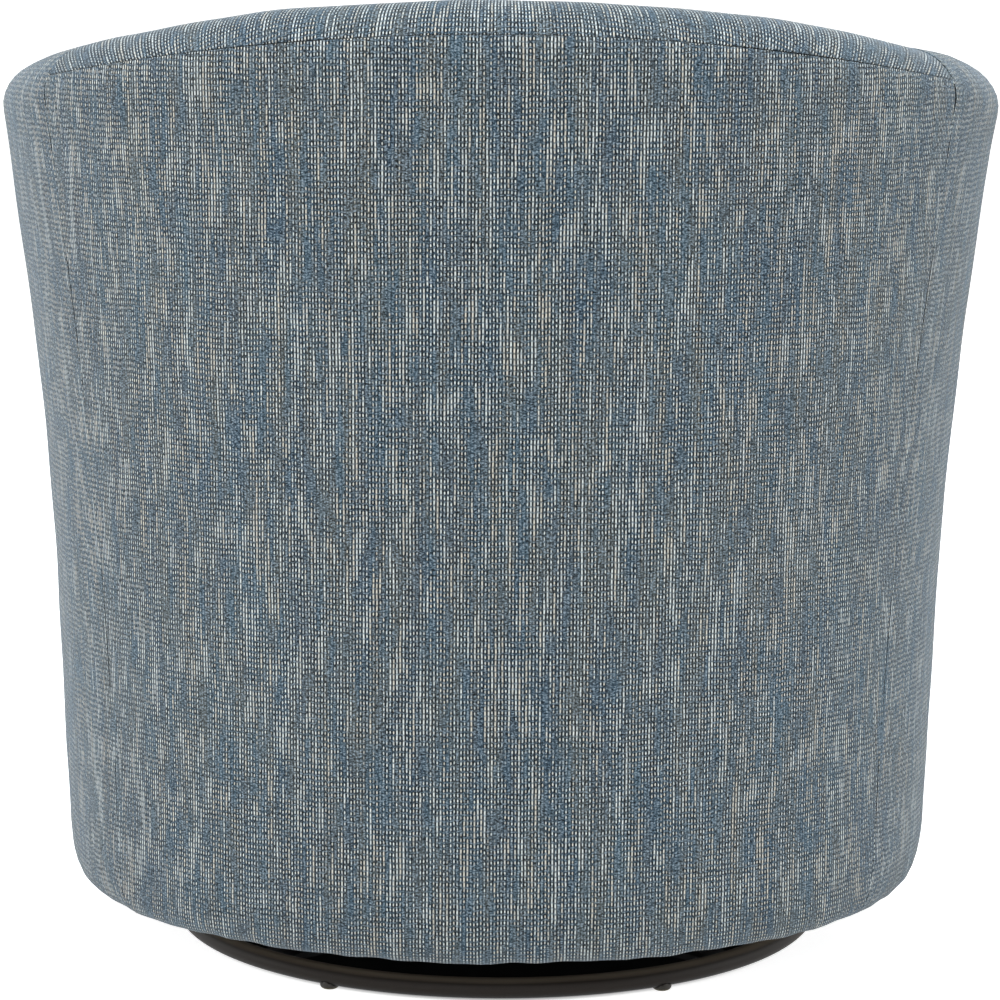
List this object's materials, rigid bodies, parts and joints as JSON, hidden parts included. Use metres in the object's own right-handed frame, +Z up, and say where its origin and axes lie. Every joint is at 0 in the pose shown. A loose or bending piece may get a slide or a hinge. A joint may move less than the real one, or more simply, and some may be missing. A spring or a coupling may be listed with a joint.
{
  "type": "swivel rocker chair",
  "caption": "Upholstered barrel chair on a round ring base that swivels all the way round and rocks on sprung pivots, with a crowned seat cushion inside a flared wrap-around back.",
  "frame": {"origin": "on the swivel axis at floor level, which is also the middle of the chair's footprint", "axes": "+Z up along the swivel axis, -Y the way the chair faces, +X towards the sitter's left"},
  "size_m": [0.7868, 0.756, 0.762],
  "materials": {
    "tweed": "woven blue-grey tweed with cream floats",
    "deck_cloth": "plain grey decking cloth over a padded board",
    "dust_cloth": "black non-woven cloth",
    "bronze_paint": "satin dark bronze",
    "black_steel": "black lacquered pressed steel",
    "zinc_steel": "zinc plated",
    "spring_steel": "oiled spring wire",
    "nylon": "moulded nylon",
    "plywood": "raw plywood",
    "hardwood": "raw hardwood"
  },
  "bodies": {
    "base": {"base_ring": "bronze_paint", "base_spider": "black_steel", "glide_1": "nylon", "glide_2": "nylon", "glide_3": "nylon", "glide_4": "nylon", "glide_5": "nylon", "glide_6": "nylon", "lower_race": "zinc_steel", "king_pin": "zinc_steel", "king_washer": "zinc_steel", "king_nut": "zinc_steel"},
    "cage": {"ball_cage": "zinc_steel"},
    "turntable": {"upper_race": "zinc_steel", "cradle": "black_steel", "pivot_bolt_left": "zinc_steel", "pivot_nut_left": "zinc_steel", "pivot_bolt_right": "zinc_steel", "pivot_nut_right": "zinc_steel", "coil_spring_1": "spring_steel", "coil_spring_2": "spring_steel", "coil_spring_3": "spring_steel", "coil_spring_4": "spring_steel"},
    "seat": {"rocker_frame": "black_steel", "pivot_bushing_left": "nylon", "pivot_bushing_right": "nylon", "cross_board_front": "hardwood", "cross_board_rear": "hardwood", "bearer_left": "hardwood", "bearer_right": "hardwood", "base_frame": "plywood", "post_rear_left": "hardwood", "post_rear_right": "hardwood", "post_side_left": "hardwood", "post_side_right": "hardwood", "post_front_left": "hardwood", "post_front_right": "hardwood", "seat_hoop": "plywood", "top_hoop": "plywood", "front_rail": "plywood", "flat_spring_1": "spring_steel", "flat_spring_2": "spring_steel", "flat_spring_3": "spring_steel", "deck": "deck_cloth", "dust_cover": "dust_cloth", "outside_back": "tweed", "inside_back": "tweed", "outside_arm_left": "tweed", "outside_arm_right": "tweed", "inside_arm_left": "tweed", "inside_arm_right": "tweed", "arm_front_left": "tweed", "arm_front_right": "tweed", "front_apron": "tweed", "seat_cushion": "tweed"}
  },
  "joints": [
    {"name": "swivel", "type": "hinge", "parent": "base", "child": "turntable", "pos_m": [0, 0, 0.0215], "axis": [0, 0, 1], "continuous": true},
    {"name": "cage_turn", "type": "hinge", "parent": "base", "child": "cage", "pos_m": [0, 0, 0.0215], "axis": [0, 0, 1], "continuous": true},
    {"name": "rock", "type": "hinge", "parent": "turntable", "child": "seat", "pos_m": [0, 0, 0.095], "axis": [1, 0, 0], "range_deg": [-6, 6], "stiffness_Nm_per_rad": 900, "deforming": ["coil_spring_1", "coil_spring_2", "coil_spring_3", "coil_spring_4"]}
  ],
  "couplings": [
    {"joint": "cage_turn", "follows": "swivel", "ratio": 0.5}
  ]
}
